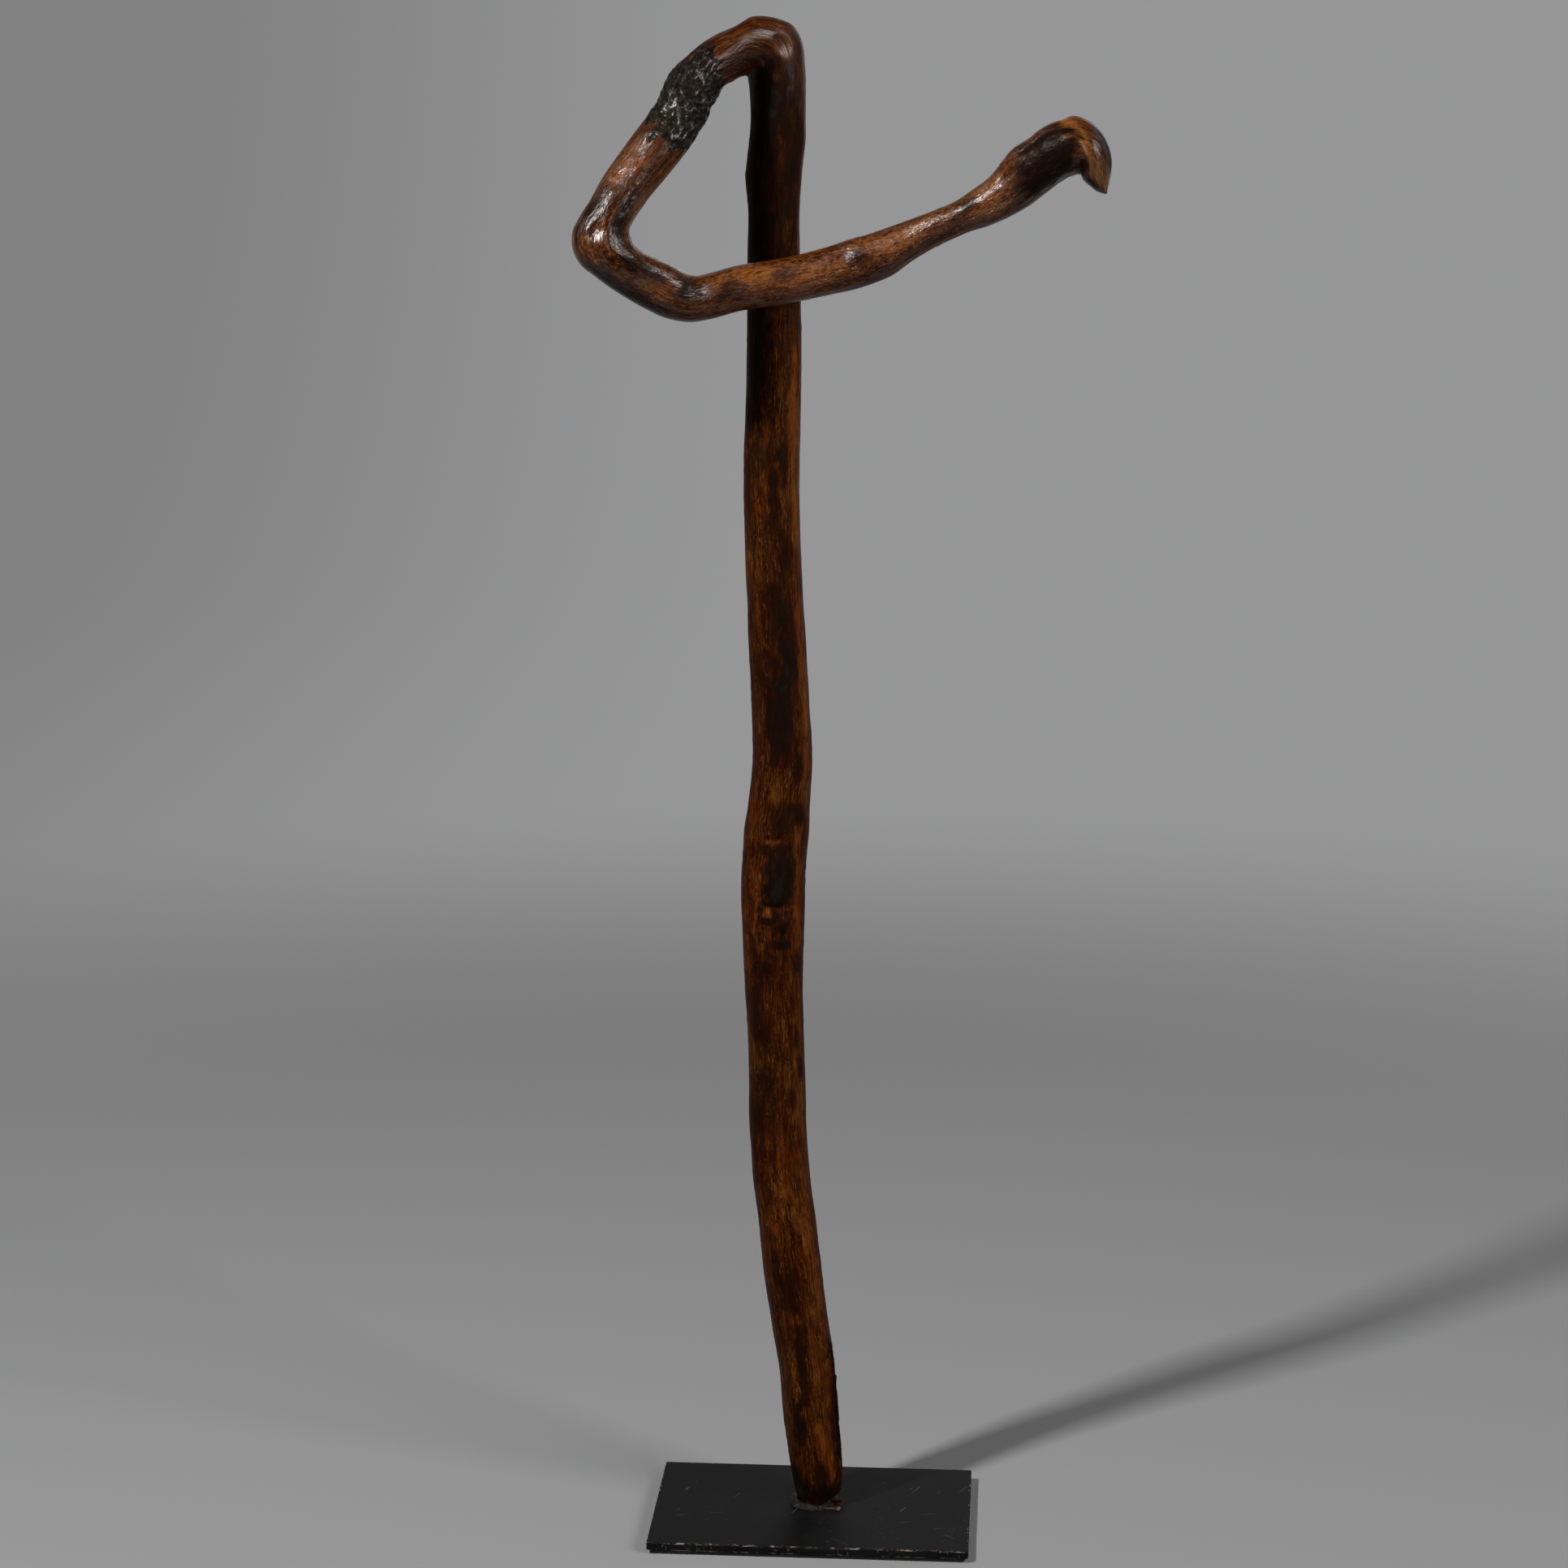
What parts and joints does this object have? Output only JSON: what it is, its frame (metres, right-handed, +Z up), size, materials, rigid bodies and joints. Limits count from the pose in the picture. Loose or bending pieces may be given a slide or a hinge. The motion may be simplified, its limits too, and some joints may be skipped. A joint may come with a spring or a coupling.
{
  "type": "wooden staff on display base",
  "caption": "Bent-branch wooden staff with a looped head and hoof-shaped tip, standing on the pin of a flat black steel display base.",
  "frame": {"origin": "middle of the base's underside, on the surface that it stands on", "axes": "+Z up along the shaft, +X to the viewer's right (where the hoof points), +Y away from the viewer"},
  "size_m": [0.3063, 0.1529, 0.9344],
  "materials": {
    "black_paint": "matt black paint, chipped at the edges",
    "black_felt": "pressed felt",
    "steel": "turned steel",
    "wax": "dusty brown wax",
    "raw_wood": "split, unpolished",
    "patinated_wood": "dark handling patina, semi-gloss, charred in places"
  },
  "bodies": {
    "base": {"base_plate": "black_paint", "felt_sheet": "black_felt", "mount_pin": "steel", "pin_screw": "steel"},
    "foot_packing": {"wax_bead": "wax", "wedge_rear": "raw_wood", "wedge_front": "raw_wood"},
    "staff": {"staff": "patinated_wood"}
  },
  "joints": [
    {"name": "staff_turn", "type": "hinge", "parent": "base", "child": "foot_packing", "pos_m": [0, 0.008, 0.04], "axis": [0, 0, 1], "continuous": true},
    {"name": "staff_lift", "type": "slide", "parent": "foot_packing", "child": "staff", "axis": [0, 0, 1], "range_m": [0, 0.065]}
  ]
}
